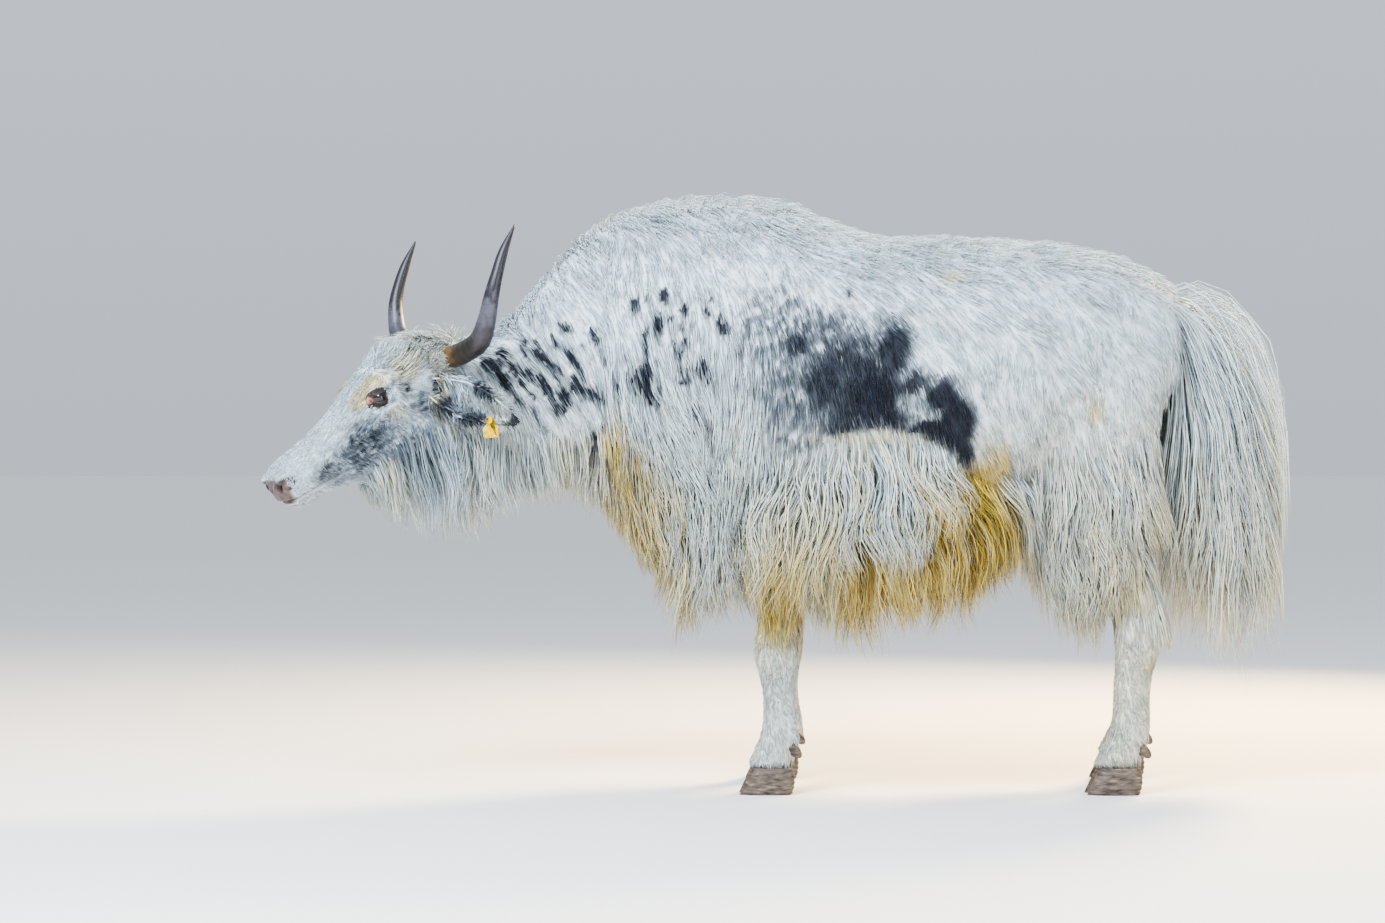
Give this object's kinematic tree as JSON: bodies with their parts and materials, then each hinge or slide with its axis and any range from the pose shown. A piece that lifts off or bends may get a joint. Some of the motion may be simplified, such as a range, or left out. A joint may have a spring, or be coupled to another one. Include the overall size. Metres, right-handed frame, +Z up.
{
  "type": "yak",
  "caption": "A long-haired domestic yak standing still on four cloven hooves, head held low and turned slightly to its left.",
  "frame": {"origin": "on the floor, under the middle of the length and width", "axes": "+Z up, the head towards -X, the animal's left side towards -Y"},
  "size_m": [2.3311, 0.73, 1.3659],
  "materials": {
    "coat": "long, dense hair in locks, cream with blue-black patches",
    "eye": "wet, dark brown",
    "horn": "grey-brown keratin, smooth towards the tip",
    "hoof": "dark keratin, finely ridged",
    "ear_tag": "blank yellow moulded plastic"
  },
  "bodies": {
    "root": {"torso": "coat", "neck": "coat", "head": "coat", "tail": "coat", "ear_left": "coat", "ear_right": "coat", "fore_leg_left": "coat", "fore_leg_right": "coat", "hind_leg_left": "coat", "hind_leg_right": "coat", "eye_left": "eye", "eye_right": "eye", "horn_left": "horn", "horn_right": "horn", "ear_tag": "ear_tag", "hoof_fore_left_inner": "hoof", "hoof_fore_left_outer": "hoof", "hoof_fore_right_inner": "hoof", "hoof_fore_right_outer": "hoof", "hoof_hind_left_inner": "hoof", "hoof_hind_left_outer": "hoof", "hoof_hind_right_inner": "hoof", "hoof_hind_right_outer": "hoof"}
  },
  "joints": []
}
